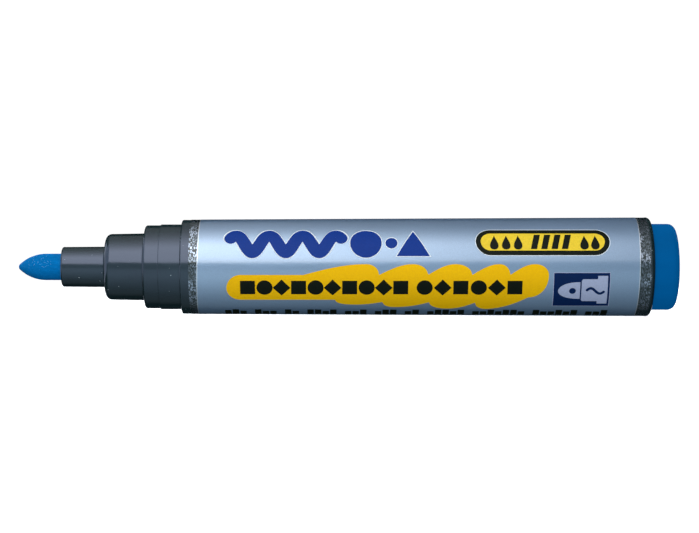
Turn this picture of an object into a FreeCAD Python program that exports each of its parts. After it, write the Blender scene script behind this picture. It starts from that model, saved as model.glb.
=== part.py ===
"""Felt tip marker without its cap, lying on its side.

Frame: +X runs along the marker from the nib to the tail and +Z is up.  The origin
is the middle of the underside of the overall box.  All sizes are in millimetres.

Every piece is turned about the marker's axis, so each outline is a list of corners
(distance along the axis, radius), measured from that piece's own front end.  The
radii are worked inwards from the outside of the barrel and outwards from the nib:

    barrel front -> cap wall -> cap seat -> cap seal land -> shoulder -> its cavity
    barrel front -> wall -> socket -> spigot -> reservoir bore -> film -> core
    barrel rim -> wall -> tail bore -> tail plug
    nib -> grip ribs -> nose bore -> nose
"""
import FreeCAD, Part
import math
import os
import Sketcher

SIZES = {
    # Lengths along the outside, from the tip of the nib to the tail.
    "nib_exposed": 8.26,
    "nose_length": 8.23,
    "shoulder_length": 7.42,
    "seal_length": 2.86,
    "seat_length": 4.06,
    "barrel_length": 87.55,
    "plug_head_length": 4.77,
    # Nib: a round fibre rod with a bullet point and a tapered inner end.
    "nib_diameter": 5.00,
    "nib_length": 36.00,
    "nib_point_length": 5.20,
    "nib_tip_radius": 0.75,
    "nib_taper_length": 3.00,
    "nib_taper_depth": 1.00,
    "nib_clearance": 0.03,
    "nib_end_gap": 0.50,
    # Front section: nose, shoulder, cap seal land, cap seat and spigot in one moulding.
    "air_channel": 0.35,
    "grip_rib_width": 0.60,
    "grip_rib_count": 6,
    "nose_wall": 0.90,
    "nose_draft": 0.06,
    "nose_round": 0.33,
    "nose_root_round": 0.30,
    "shoulder_step": 1.515,
    "shoulder_draft": 0.13,
    "shoulder_wall": 1.35,
    "shoulder_round": 1.10,
    "shoulder_root_round": 0.25,
    "shoulder_web": 1.40,
    "ledge_web": 1.10,
    "seal_step": 0.165,
    "seal_round": 0.40,
    "seat_round": 0.12,
    "cap_wall": 0.86,
    "spigot_length": 9.00,
    "spigot_wall": 0.95,
    "spigot_clearance": 0.03,
    "spigot_lead": 0.40,
    "bead_distance": 4.00,
    "bead_width": 1.20,
    "bead_height": 0.15,
    "bead_clearance": 0.10,
    "vent_width": 1.20,
    "vent_depth": 0.60,
    "vent_count": 4,
    # Barrel: a drafted tube, wider at the tail, ribbed inside to centre the reservoir.
    "barrel_front_diameter": 17.68,
    "barrel_rim_diameter": 18.64,
    "barrel_front_wall": 1.24,
    "barrel_rim_wall": 1.18,
    "barrel_front_round": 0.25,
    "barrel_rim_round": 0.72,
    "collar_length": 1.70,
    "rim_length": 0.85,
    "socket_clearance": 0.30,
    "socket_step": 0.15,
    "plug_stop_step": 0.30,
    "barrel_rib_width": 1.00,
    "barrel_rib_height": 1.00,
    "barrel_rib_count": 6,
    "rib_overlap": 0.20,
    # Label: a printed film wrapped round the barrel.
    "label_thickness": 0.08,
    "label_clearance": 0.01,
    # Ink reservoir: a fibre core in a thin film sleeve.
    "reservoir_clearance": 0.12,
    "reservoir_end_gap": 0.30,
    "film_thickness": 0.15,
    "film_clearance": 0.01,
    # Tail plug: a cup pushed into the barrel, with two sealing rings and crossed fins.
    "plug_insert": 8.20,
    "plug_mouth": 1.50,
    "plug_clearance": 0.05,
    "plug_relief": 0.15,
    "plug_wall": 1.05,
    "plug_floor": 1.40,
    "plug_round": 1.35,
    "plug_end_gap": 0.05,
    "plug_fin_width": 1.00,
    "plug_fin_count": 4,
    "ring_clearance": 0.03,
    "ring_width": 0.80,
    "ring_first": 2.00,
    "ring_pitch": 2.40,
}

# Outside radii.
BARREL_FRONT = "(sizes.barrel_front_diameter / 2)"
BARREL_RIM = "(sizes.barrel_rim_diameter / 2)"
SEAT = f"({BARREL_FRONT} - sizes.cap_wall)"
SEAL = f"({SEAT} - sizes.seal_step)"
SHOULDER_REAR = f"({SEAL} - sizes.shoulder_step)"
SHOULDER_FRONT = f"({SHOULDER_REAR} - sizes.shoulder_draft)"
NIB = "(sizes.nib_diameter / 2)"
NOSE_FRONT = f"({NIB} + sizes.air_channel + sizes.nose_wall)"
NOSE_REAR = f"({NOSE_FRONT} + sizes.nose_draft)"
LABEL_FRONT = f"({BARREL_FRONT} + sizes.label_thickness)"
LABEL_BED_REAR = f"({BARREL_RIM} - sizes.label_thickness)"

# Inside radii, and the radii of what goes in them.
NOSE_BORE = f"({NIB} + sizes.air_channel)"
NIB_HOLE = f"({NIB} + sizes.nib_clearance)"
SHOULDER_BORE = f"({SHOULDER_FRONT} - sizes.shoulder_wall)"
SOCKET = f"({BARREL_FRONT} - sizes.barrel_front_wall)"
SPIGOT = f"({SOCKET} - sizes.spigot_clearance)"
BEAD = f"({SPIGOT} + sizes.bead_height)"
BARREL_BORE_FRONT = f"({SOCKET} - sizes.socket_step)"
PLUG_BORE = f"({BARREL_RIM} - sizes.barrel_rim_wall)"
BARREL_BORE_REAR = f"({PLUG_BORE} - sizes.plug_stop_step)"
RESERVOIR_BORE = (
    f"min({SPIGOT} - sizes.spigot_wall; {BARREL_BORE_REAR} - sizes.barrel_rib_height)"
)
FILM = f"({RESERVOIR_BORE} - sizes.reservoir_clearance)"
CORE = f"({FILM} - sizes.film_thickness - sizes.film_clearance)"
PLUG_HEAD = f"({PLUG_BORE} - sizes.plug_clearance)"
PLUG_SKIRT = f"({PLUG_HEAD} - sizes.plug_relief)"
PLUG_RING = f"({PLUG_BORE} - sizes.ring_clearance)"
PLUG_INSIDE = f"({PLUG_SKIRT} - sizes.plug_wall)"

# Distances from the nose's face, along the front section.
SHOULDER_AT = "sizes.nose_length"
SEAL_AT = f"({SHOULDER_AT} + sizes.shoulder_length)"
SEAT_AT = f"({SEAL_AT} + sizes.seal_length)"
SPIGOT_AT = f"({SEAT_AT} + sizes.seat_length)"
FRONT_LENGTH = f"({SPIGOT_AT} + sizes.spigot_length)"
CAVITY_AT = f"({SHOULDER_AT} + sizes.shoulder_web)"
LEDGE_AT = f"({SEAL_AT} + sizes.ledge_web)"

# Distances from the tip of the nib, along the whole marker.
NOSE_X = "sizes.nib_exposed"
BARREL_X = f"({NOSE_X} + {SPIGOT_AT})"
LABEL_X = f"({BARREL_X} + sizes.collar_length)"
RESERVOIR_X = f"({NOSE_X} + {LEDGE_AT})"
TAIL_X = f"({BARREL_X} + sizes.barrel_length)"
PLUG_X = f"({TAIL_X} - sizes.plug_insert)"
TOTAL_LENGTH = f"({TAIL_X} + sizes.plug_head_length)"
AXIS_HEIGHT = f"max({LABEL_FRONT}; {BARREL_RIM})"

# Lengths of the pieces that fill what the others leave.
LABEL_LENGTH = "(sizes.barrel_length - sizes.collar_length - sizes.rim_length)"
RESERVOIR_LENGTH = f"({PLUG_X} - sizes.reservoir_end_gap - {RESERVOIR_X})"
NIB_HOLE_DEPTH = f"(sizes.nib_length + sizes.nib_end_gap - {RESERVOIR_X})"
PLUG_LENGTH = "(sizes.plug_insert + sizes.plug_head_length)"
PLUG_FLOOR_AT = f"({PLUG_LENGTH} - sizes.plug_floor)"

FULL_TURN = 360
SAME_PLACE = 1e-4
FILLET_SHARE = 0.95


def make_sheet(document):
    """Write the driving sizes into the spreadsheet, one aliased cell each."""
    sheet = document.addObject("Spreadsheet::Sheet", "sizes")
    for row, (name, value) in enumerate(SIZES.items(), start=1):
        sheet.set(f"A{row}", name)
        sheet.set(f"B{row}", str(value))
        sheet.setAlias(f"B{row}", name)
    document.recompute()
    return sheet


def make_body(document, label, front):
    """Start a piece whose front end stands at a distance from the tip of the nib."""
    body = document.addObject("PartDesign::Body", label)
    body.Label = label
    body.setExpression("Placement.Base.x", f"{front} - {TOTAL_LENGTH} / 2")
    body.setExpression("Placement.Base.z", AXIS_HEIGHT)
    return body


def value_of(body, expression):
    """Give an expression's present value as a plain number."""
    return float(body.evalExpression(expression))


def start_sketch(body, name):
    """Open a sketch on the piece's upright plane: across is X, up is the radius."""
    sketch = body.newObject("Sketcher::SketchObject", name)
    upright = next(f for f in body.Origin.OriginFeatures if f.Role == "XZ_Plane")
    sketch.AttachmentSupport = [(upright, "")]
    sketch.MapMode = "FlatFace"
    return sketch


def pin_corner(sketch, line, corner):
    """Tie the start of one line to its distance along the axis and its radius."""
    origin, vertical_axis, horizontal_axis = (-1, 1), -2, -1
    for kind, expression, axis in (
        ("DistanceX", corner[0], vertical_axis),
        ("DistanceY", corner[1], horizontal_axis),
    ):
        if expression == "0":
            sketch.addConstraint(Sketcher.Constraint("PointOnObject", line, 1, axis))
            continue
        size = value_of(sketch, expression)
        index = sketch.addConstraint(Sketcher.Constraint(kind, *origin, line, 1, size))
        sketch.setExpression(f"Constraints[{index}]", expression)


def closed_outline(body, name, corners):
    """Sketch a closed outline of straight lines through the given corners."""
    sketch = start_sketch(body, name)
    points = [
        FreeCAD.Vector(value_of(body, x), value_of(body, radius), 0)
        for x, radius in corners
    ]
    count = len(points)
    for line in range(count):
        end = points[(line + 1) % count]
        sketch.addGeometry(Part.LineSegment(points[line], end), False)
    for line in range(count):
        following = (line + 1) % count
        sketch.addConstraint(Sketcher.Constraint("Coincident", line, 2, following, 1))
    for line, corner in enumerate(corners):
        pin_corner(sketch, line, corner)
    return sketch


def turn(body, name, sketch):
    """Turn a sketch a full circle about the marker's axis."""
    feature = body.newObject("PartDesign::Revolution", name)
    feature.Profile = sketch
    feature.ReferenceAxis = (sketch, ["H_Axis"])
    feature.Angle = FULL_TURN
    return feature


def repeat_round(body, feature, sketch, count):
    """Repeat a feature evenly round the marker's axis."""
    pattern = body.newObject("PartDesign::PolarPattern", f"{feature.Name}_ring")
    pattern.Originals = [feature]
    pattern.Axis = (sketch, ["H_Axis"])
    pattern.Angle = FULL_TURN
    pattern.setExpression("Occurrences", count)
    body.Tip = pattern
    return pattern


def add_ribs(body, name, corners, width, count):
    """Add ribs that stand in planes through the axis, as thick as width."""
    body.Document.recompute()
    before = body.Tip.Shape.Volume
    sketch = closed_outline(body, f"{name}_outline", corners)
    rib = body.newObject("PartDesign::Pad", name)
    rib.Profile = sketch
    rib.Midplane = True
    rib.setExpression("Length", width)
    ring = repeat_round(body, rib, sketch, count)
    body.Document.recompute()
    if ring.Shape.Volume <= before:
        raise RuntimeError(f"{name} adds nothing to {body.Label}")


def cut_slots(body, name, corners, width, count):
    """Cut slots that lie in planes through the axis, as wide as width."""
    body.Document.recompute()
    before = body.Tip.Shape.Volume
    sketch = closed_outline(body, f"{name}_outline", corners)
    slot = body.newObject("PartDesign::Pocket", name)
    slot.Profile = sketch
    slot.Midplane = True
    slot.setExpression("Length", width)
    ring = repeat_round(body, slot, sketch, count)
    body.Document.recompute()
    if ring.Shape.Volume >= before:
        raise RuntimeError(f"{name} cuts nothing from {body.Label}")


def edge_name(body, shape, x, radius):
    """Find the circular edge at a distance along the axis, by its radius."""
    wanted_x = value_of(body, x)
    wanted_radius = value_of(body, radius)
    for number, edge in enumerate(shape.Edges, start=1):
        curve = edge.Curve
        if not isinstance(curve, Part.Circle):
            continue
        off_x = abs(curve.Center.x - wanted_x)
        off_radius = abs(curve.Radius - wanted_radius)
        if off_x < SAME_PLACE and off_radius < SAME_PLACE:
            return f"Edge{number}"
    raise RuntimeError(f"no round edge at {x}, {radius} on {body.Label}")


def round_off(body, name, x, radius, size):
    """Round one circular edge, convex or in a corner."""
    body.Document.recompute()
    base = body.Tip
    fillet = body.newObject("PartDesign::Fillet", name)
    fillet.Base = (base, [edge_name(body, base.Shape, x, radius)])
    fillet.setExpression("Radius", size)


def sketch_nib(body):
    """Sketch the nib: a small round tip, a long arc tangent to it, and the rod.

    The tip arc is centred on the axis.  The flank arc meets the tip arc and the rod
    without a corner, so its radius follows from the point's length and the rod's.
    """
    sketch = start_sketch(body, "nib_outline")
    tip = value_of(body, "sizes.nib_tip_radius")
    point = value_of(body, "sizes.nib_point_length")
    rod = value_of(body, NIB)
    length = value_of(body, "sizes.nib_length")
    taper_x = length - value_of(body, "sizes.nib_taper_length")
    taper_radius = rod - value_of(body, "sizes.nib_taper_depth")

    flank = ((point - tip) ** 2 + rod**2 - tip**2) / (2 * (rod - tip))
    joint_angle = math.atan2(flank - rod, tip - point)
    normal = FreeCAD.Vector(0, 0, 1)
    tip_circle = Part.Circle(FreeCAD.Vector(tip, 0, 0), normal, tip)
    flank_circle = Part.Circle(FreeCAD.Vector(point, rod - flank, 0), normal, flank)
    tip_arc = sketch.addGeometry(Part.ArcOfCircle(tip_circle, joint_angle, math.pi), False)
    flank_arc = sketch.addGeometry(
        Part.ArcOfCircle(flank_circle, math.pi / 2, joint_angle), False
    )
    corners = [(point, rod), (taper_x, rod), (length, taper_radius), (length, 0), (0, 0)]
    points = [FreeCAD.Vector(x, radius, 0) for x, radius in corners]
    side, taper, end, axis = (
        sketch.addGeometry(Part.LineSegment(start, finish), False)
        for start, finish in zip(points, points[1:])
    )
    for constraint in (
        ("Tangent", tip_arc, 1, flank_arc, 2),
        ("Tangent", flank_arc, 1, side, 1),
        ("Coincident", side, 2, taper, 1),
        ("Coincident", taper, 2, end, 1),
        ("Coincident", end, 2, axis, 1),
        ("Coincident", axis, 2, tip_arc, 2),
        ("Coincident", axis, 2, -1, 1),
        ("PointOnObject", tip_arc, 3, -1),
        ("Horizontal", side),
        ("Vertical", end),
        ("Horizontal", axis),
    ):
        sketch.addConstraint(Sketcher.Constraint(*constraint))
    for kind, line, expression in (
        ("DistanceX", side, "sizes.nib_point_length"),
        ("DistanceY", side, NIB),
        ("DistanceX", taper, "sizes.nib_length - sizes.nib_taper_length"),
        ("DistanceX", end, "sizes.nib_length"),
        ("DistanceY", end, f"{NIB} - sizes.nib_taper_depth"),
    ):
        size = value_of(body, expression)
        index = sketch.addConstraint(Sketcher.Constraint(kind, -1, 1, line, 1, size))
        sketch.setExpression(f"Constraints[{index}]", expression)
    index = sketch.addConstraint(Sketcher.Constraint("Radius", tip_arc, tip))
    sketch.setExpression(f"Constraints[{index}]", "sizes.nib_tip_radius")
    return sketch


def make_nib(document):
    """The fibre rod that writes; its inner end feeds from the reservoir."""
    body = make_body(document, "nib", "0")
    turn(body, "nib_rod", sketch_nib(body))


def make_front_section(document):
    """Nose, shoulder, cap land, cap seat and spigot, moulded in one."""
    body = make_body(document, "front_section", NOSE_X)
    bead_at = f"({SPIGOT_AT} + sizes.bead_distance)"
    corners = [
        ("0", NOSE_FRONT),
        (SHOULDER_AT, NOSE_REAR),
        (SHOULDER_AT, SHOULDER_FRONT),
        (SEAL_AT, SHOULDER_REAR),
        (SEAL_AT, SEAL),
        (SEAT_AT, SEAL),
        (SEAT_AT, SEAT),
        (SPIGOT_AT, SEAT),
        (SPIGOT_AT, SPIGOT),
        (bead_at, SPIGOT),
        (f"{bead_at} + sizes.bead_width / 4", BEAD),
        (f"{bead_at} + sizes.bead_width * 3 / 4", BEAD),
        (f"{bead_at} + sizes.bead_width", SPIGOT),
        (f"{FRONT_LENGTH} - sizes.spigot_lead", SPIGOT),
        (FRONT_LENGTH, f"{SPIGOT} - sizes.spigot_lead"),
        (FRONT_LENGTH, RESERVOIR_BORE),
        (LEDGE_AT, RESERVOIR_BORE),
        (LEDGE_AT, SHOULDER_BORE),
        (CAVITY_AT, SHOULDER_BORE),
        (CAVITY_AT, NOSE_BORE),
        ("0", NOSE_BORE),
    ]
    turn(body, "front_shell", closed_outline(body, "front_outline", corners))
    round_off(body, "nose_edge", "0", NOSE_FRONT, "sizes.nose_round")
    round_off(body, "nose_root", SHOULDER_AT, NOSE_REAR, "sizes.nose_root_round")
    round_off(body, "shoulder_edge", SHOULDER_AT, SHOULDER_FRONT, "sizes.shoulder_round")
    round_off(body, "shoulder_root", SEAL_AT, SHOULDER_REAR, "sizes.shoulder_root_round")
    round_off(body, "seal_edge", SEAL_AT, SEAL, "sizes.seal_round")
    round_off(body, "seat_edge", SEAT_AT, SEAT, "sizes.seat_round")
    grip = [
        ("0", NIB_HOLE),
        (CAVITY_AT, NIB_HOLE),
        (CAVITY_AT, f"{NOSE_BORE} + sizes.rib_overlap"),
        ("0", f"{NOSE_BORE} + sizes.rib_overlap"),
    ]
    add_ribs(body, "grip_rib", grip, "sizes.grip_rib_width", "sizes.grip_rib_count")
    vent_at = f"{LEDGE_AT} - sizes.vent_depth"
    vent = [
        (vent_at, f"{SHOULDER_BORE} - sizes.rib_overlap"),
        (LEDGE_AT, f"{SHOULDER_BORE} - sizes.rib_overlap"),
        (LEDGE_AT, RESERVOIR_BORE),
        (vent_at, RESERVOIR_BORE),
    ]
    cut_slots(body, "ledge_vent", vent, "sizes.vent_width", "sizes.vent_count")


def make_barrel(document):
    """The tube that is held: socket, drafted bore with ribs, and tail bore."""
    body = make_body(document, "barrel", BARREL_X)
    end = "sizes.barrel_length"
    label_end = f"({end} - sizes.rim_length)"
    stop_at = f"({end} - sizes.plug_insert - sizes.plug_end_gap)"
    socket_end = "(sizes.spigot_length + sizes.socket_clearance)"
    groove_start = "(sizes.bead_distance - sizes.bead_clearance)"
    groove_end = "(sizes.bead_distance + sizes.bead_width + sizes.bead_clearance)"
    groove = f"({BEAD} + sizes.spigot_clearance)"
    corners = [
        ("0", BARREL_FRONT),
        ("sizes.collar_length", BARREL_FRONT),
        (label_end, LABEL_BED_REAR),
        (label_end, BARREL_RIM),
        (end, BARREL_RIM),
        (end, PLUG_BORE),
        (stop_at, PLUG_BORE),
        (stop_at, BARREL_BORE_REAR),
        (socket_end, BARREL_BORE_FRONT),
        (socket_end, SOCKET),
        (groove_end, SOCKET),
        (groove_end, groove),
        (groove_start, groove),
        (groove_start, SOCKET),
        ("0", SOCKET),
    ]
    turn(body, "barrel_tube", closed_outline(body, "barrel_outline", corners))
    round_off(body, "front_edge", "0", BARREL_FRONT, "sizes.barrel_front_round")
    rim_room = f"min(sizes.barrel_rim_wall; sizes.rim_length) * {FILLET_SHARE}"
    rim_round = f"min(sizes.barrel_rim_round; {rim_room})"
    round_off(body, "rim_edge", end, BARREL_RIM, rim_round)
    rib = [
        (socket_end, RESERVOIR_BORE),
        (stop_at, RESERVOIR_BORE),
        (stop_at, f"{BARREL_BORE_REAR} + sizes.rib_overlap"),
        (socket_end, f"{BARREL_BORE_FRONT} + sizes.rib_overlap"),
    ]
    add_ribs(body, "barrel_rib", rib, "sizes.barrel_rib_width", "sizes.barrel_rib_count")


def make_label(document):
    """The printed film, a sleeve that tapers with the barrel and ends at its rim."""
    body = make_body(document, "label", LABEL_X)
    corners = [
        ("0", f"{BARREL_FRONT} + sizes.label_clearance"),
        ("0", LABEL_FRONT),
        (LABEL_LENGTH, BARREL_RIM),
        (LABEL_LENGTH, f"{LABEL_BED_REAR} + sizes.label_clearance"),
    ]
    turn(body, "label_sleeve", closed_outline(body, "label_outline", corners))


def make_reservoir_core(document):
    """The ink-soaked fibre rod, with a blind hole for the nib."""
    body = make_body(document, "reservoir_core", RESERVOIR_X)
    corners = [
        ("0", NIB_HOLE),
        ("0", CORE),
        (RESERVOIR_LENGTH, CORE),
        (RESERVOIR_LENGTH, "0"),
        (NIB_HOLE_DEPTH, "0"),
        (NIB_HOLE_DEPTH, NIB_HOLE),
    ]
    turn(body, "core_rod", closed_outline(body, "core_outline", corners))


def make_reservoir_film(document):
    """The sleeve that keeps the ink in the core."""
    body = make_body(document, "reservoir_film", RESERVOIR_X)
    inside = f"({FILM} - sizes.film_thickness)"
    corners = [
        ("0", inside),
        ("0", FILM),
        (RESERVOIR_LENGTH, FILM),
        (RESERVOIR_LENGTH, inside),
    ]
    turn(body, "film_sleeve", closed_outline(body, "film_outline", corners))


def make_tail_plug(document):
    """The cup that closes the barrel, its open end towards the reservoir."""
    body = make_body(document, "tail_plug", PLUG_X)
    mouth = "(sizes.plug_insert - sizes.plug_mouth)"
    corners = [("0", PLUG_INSIDE), ("0", PLUG_SKIRT)]
    for ring in ("0", "1"):
        start = f"(sizes.ring_first + sizes.ring_pitch * {ring})"
        corners += [
            (start, PLUG_SKIRT),
            (f"{start} + sizes.ring_width / 4", PLUG_RING),
            (f"{start} + sizes.ring_width * 3 / 4", PLUG_RING),
            (f"{start} + sizes.ring_width", PLUG_SKIRT),
        ]
    corners += [
        (mouth, PLUG_SKIRT),
        (mouth, PLUG_HEAD),
        (PLUG_LENGTH, PLUG_HEAD),
        (PLUG_LENGTH, "0"),
        (PLUG_FLOOR_AT, "0"),
        (PLUG_FLOOR_AT, PLUG_INSIDE),
    ]
    turn(body, "plug_cup", closed_outline(body, "plug_outline", corners))
    round_off(body, "plug_edge", PLUG_LENGTH, PLUG_HEAD, "sizes.plug_round")
    fin = [
        ("0", "0"),
        (f"{PLUG_FLOOR_AT} + sizes.rib_overlap", "0"),
        (f"{PLUG_FLOOR_AT} + sizes.rib_overlap", f"{PLUG_INSIDE} + sizes.rib_overlap"),
        ("0", f"{PLUG_INSIDE} + sizes.rib_overlap"),
    ]
    add_ribs(body, "plug_fin", fin, "sizes.plug_fin_width", "sizes.plug_fin_count")


def check_document(document):
    """Stop if any object failed to build, or a piece isn't one valid solid."""
    for item in document.Objects:
        if "Invalid" in item.State or "Error" in item.State:
            raise RuntimeError(f"{item.Name} failed: {item.State}")
    for body in document.findObjects("PartDesign::Body"):
        shape = body.Shape
        if shape.isNull() or not shape.isValid() or len(shape.Solids) != 1:
            raise RuntimeError(f"{body.Label} isn't one valid solid")


def write_steps(document):
    """Write each piece to a file named for it."""
    os.makedirs("parts", exist_ok=True)
    for body in document.findObjects("PartDesign::Body"):
        body.Shape.exportStep(f"parts/{body.Label}.step")
        print(f"{body.Label}: {body.Shape.Volume:.1f} mm3")


marker = FreeCAD.newDocument("felt_tip_marker")
make_sheet(marker)
make_nib(marker)
make_front_section(marker)
make_barrel(marker)
make_label(marker)
make_reservoir_core(marker)
make_reservoir_film(marker)
make_tail_plug(marker)
marker.recompute()
check_document(marker)
write_steps(marker)
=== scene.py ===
"""Felt tip marker: the looks of every piece, and the studio it is shown in.

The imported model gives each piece's place and size.  +X runs along the marker from the nib
to the tail, +Z is up, and everything is in metres.  A place on the label is given by how far
along the marker it is and how far round the label it is, measured up from the line that
faces the front (-Y) at the height of the marker's axis.
"""
import math

import bmesh
import bpy
import numpy as np
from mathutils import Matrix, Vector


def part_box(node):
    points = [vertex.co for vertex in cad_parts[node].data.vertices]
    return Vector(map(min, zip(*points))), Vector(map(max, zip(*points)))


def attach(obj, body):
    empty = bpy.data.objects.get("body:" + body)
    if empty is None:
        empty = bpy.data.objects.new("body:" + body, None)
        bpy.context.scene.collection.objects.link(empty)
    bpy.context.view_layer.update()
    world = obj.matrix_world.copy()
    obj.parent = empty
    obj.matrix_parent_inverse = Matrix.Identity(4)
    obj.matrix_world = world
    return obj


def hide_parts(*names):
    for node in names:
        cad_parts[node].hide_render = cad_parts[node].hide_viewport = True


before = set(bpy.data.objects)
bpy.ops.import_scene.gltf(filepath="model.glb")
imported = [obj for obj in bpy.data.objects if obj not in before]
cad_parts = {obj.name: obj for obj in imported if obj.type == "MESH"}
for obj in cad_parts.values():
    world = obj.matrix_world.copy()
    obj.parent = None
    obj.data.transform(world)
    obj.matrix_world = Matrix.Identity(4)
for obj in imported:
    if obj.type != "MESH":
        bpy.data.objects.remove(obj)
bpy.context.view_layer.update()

bl_info = {
    "name": "Felt tip marker looks",
    "version": (1, 0, 0),
    "blender": (4, 5, 0),
    "location": "3D View > Sidebar > Marker",
    "description": "Finishes the felt tip marker's pieces and sets up its studio",
    "category": "Object",
}

MM = 0.001
BARREL_LOW, BARREL_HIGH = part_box("barrel")
LABEL_LOW, LABEL_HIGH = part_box("label")
NIB_LOW, NIB_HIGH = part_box("nib")
AXIS_HEIGHT = (BARREL_LOW.z + BARREL_HIGH.z) / 2


def end_radii(node):
    """The radius of a node's outside at its front end and at its rear end."""
    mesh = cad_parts[node].data
    places = np.empty(len(mesh.vertices) * 3, np.float32)
    mesh.vertices.foreach_get("co", places)
    x, y, z = places.reshape(-1, 3).T
    radius = np.hypot(y, z - AXIS_HEIGHT)
    near = 0.02 * MM
    return (
        float(radius[x < x.min() + near].max()),
        float(radius[x > x.max() - near].max()),
    )


LABEL_FRONT_RADIUS, LABEL_REAR_RADIUS = end_radii("label")


# ---------------------------------------------------------------- sizes and colours


def to_linear(code):
    """A colour written as sRGB hex, such as "#20292f", as linear red, green, blue and alpha."""
    parts = np.array([int(code[i : i + 2], 16) for i in (1, 3, 5)]) / 255
    linear = np.where(parts <= 0.04045, parts / 12.92, ((parts + 0.055) / 1.055) ** 2.4)
    return (*(float(part) for part in linear), 1.0)


COLD_GLOSS = to_linear("#d0d9ff")
DUST = to_linear("#95a2aa")
CUT_FIBRE = to_linear("#6fade1")
# Darker colour of the film in the hollows of its creases: painted shade.
CREASE_SHADE_FILM = to_linear("#c4cbd4")
SMOOTH_FILM = to_linear("#dadfe5")
WHITE_PAPER = to_linear("#e7e7e7")
WHITE_LIGHT = to_linear("#ffffff")
MAIN_LIGHT = to_linear("#fdfffa")
FILL_LIGHT = to_linear("#e1f5f8")
CARD_LIGHT = to_linear("#e7f1ff")
REAR_LIGHT = to_linear("#f7faff")
BOUNCE_LIGHT = to_linear("#fffaf3")
ROOM_LIGHT = to_linear("#3d5a63")


def number(name, description, default, unit="NONE"):
    """A plain number that a user may change."""
    return bpy.props.FloatProperty(name=name, description=description, default=default, unit=unit)


def length(name, description, millimetres):
    """A length that a user may change, with its default in millimetres."""
    return bpy.props.FloatProperty(
        name=name,
        description=description,
        default=millimetres * MM,
        unit="LENGTH",
        subtype="DISTANCE",
        precision=6,
    )


def colour(name, description, code):
    """A colour that a user may change, with its default in sRGB hex."""
    return bpy.props.FloatVectorProperty(
        name=name,
        description=description,
        default=to_linear(code),
        size=4,
        min=0,
        max=1,
        subtype="COLOR",
    )


class MARKER_PG_sizes(bpy.types.PropertyGroup):
    """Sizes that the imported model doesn't hold."""

    nib_tip_radius: length("Nib tip radius", "Radius of the nib's small round tip", 0.75)
    nib_point_length: length("Nib point", "Length of the nib's ground point", 5.2)
    nib_bare_length: length("Bare nib", "Length of nib in front of the nose", 8.26)
    nib_roughness: length("Nib roughness", "How far fibres stand out of the nib", 0.022)
    film_sink: length("Film sink", "Depth of the clear film below the label's outside", 0.05)
    print_sink: length("Print sink", "Depth of the printed film below the label's outside", 0.03)
    ink_step: length("Ink step", "Height of each layer of ink", 0.008)
    ink_depth: length("Ink depth", "How far each layer of ink reaches down", 0.018)
    front_margin: length("Front margin", "Clear film in front of the print", 1.53)
    rear_margin: length("Rear margin", "Clear film behind the print", 1.95)
    bare_edge: length("Bare edge", "Unprinted edge of the metallised film", 0.13)
    lap_width: length("Lap", "Width of the label's overlap at the back", 3.0)
    edge_tilt: number("Edge tilt", "Lean of the print's ends, as a share of their height", 0.019)


class MARKER_PG_colours(bpy.types.PropertyGroup):
    """Colours of the plastics, the fibre and the inks."""

    dark_plastic: colour("Dark plastic", "Front section and barrel", "#1a292d")
    blue_plastic: colour("Blue plastic", "Tail plug", "#005898")
    nib: colour("Nib", "Fibre soaked in blue ink", "#006fb9")
    fibre: colour("Stray fibres", "Fibres that stand out of the nib", "#8fc4ee")
    reservoir: colour("Reservoir", "Fibre rod that holds the ink", "#2f6fb4")
    silver: colour("Label", "Silvery blue of the printed film", "#7691b5")
    bare: colour("Bare film", "Metallised film with no print", "#c9d2e2")
    fleck: colour("Flecks", "Air caught under the clear film", "#a3aec4")
    white: colour("White ink", "Outline of the blue shapes", "#e2eaf6")
    blue: colour("Blue ink", "Large shapes", "#04348e")
    navy: colour("Navy ink", "Panel with the nib sign", "#002052")
    lilac: colour("Lilac ink", "Nib sign", "#aab3d6")
    yellow: colour("Yellow ink", "Scribble", "#ffc200")
    light_yellow: colour("Light yellow ink", "Field of the pill", "#f3d038")
    black: colour("Black ink", "Marks and rings", "#0a1208")


class MARKER_PG_studio(bpy.types.PropertyGroup):
    """The camera and the lamps."""

    camera_distance: length("Camera distance", "From the camera to the marker's axis", 385)
    picture_width: length("Picture width", "What the picture spans at the marker's axis", 131.4)
    camera_side: length("Camera side", "How far the camera stands towards the tail", 0.573)
    camera_rise: length("Camera rise", "Height of the camera above the marker's axis", 0.075)
    sensor_width: length("Sensor width", "Width of the camera's sensor", 36)
    panel_distance: length("Panel distance", "From the lamp panels to the marker's axis", 500)
    panel_power: number("Panel power", "Brightness of the main panel", 4.2)
    fill_power: number("Fill power", "Brightness of the lower panel", 1.3)
    card_power: number("Card power", "Brightness of the three mirrored cards", 1.6)
    rear_power: number("Rear power", "Power of each lamp behind", 3.0, "POWER")
    bounce_power: number("Bounce power", "Power of the soft lamp below in front", 0.6, "POWER")


def settings():
    """The three groups of sizes, colours and studio settings of the open scene."""
    scene = bpy.context.scene
    return scene.marker_sizes, scene.marker_colours, scene.marker_studio


# ---------------------------------------------------------------- surfaces


def label_radius(along):
    """Radius of the label's outside: a straight taper from its front end to its rear end."""
    share = (along - LABEL_LOW.x) / (LABEL_HIGH.x - LABEL_LOW.x)
    return LABEL_FRONT_RADIUS + share * (LABEL_REAR_RADIUS - LABEL_FRONT_RADIUS)


def once_round(count):
    """Angles once round a circle, without the last, which would be the first again."""
    return np.linspace(0, 2 * np.pi, count, endpoint=False)


def on_axis(along, angle, radius):
    """Points round the marker's axis: y = -radius cos(angle), z = axis + radius sin(angle)."""
    y = -radius * np.cos(angle)
    z = AXIS_HEIGHT + radius * np.sin(angle)
    return np.stack(np.broadcast_arrays(along, y, z), axis=-1)


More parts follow.
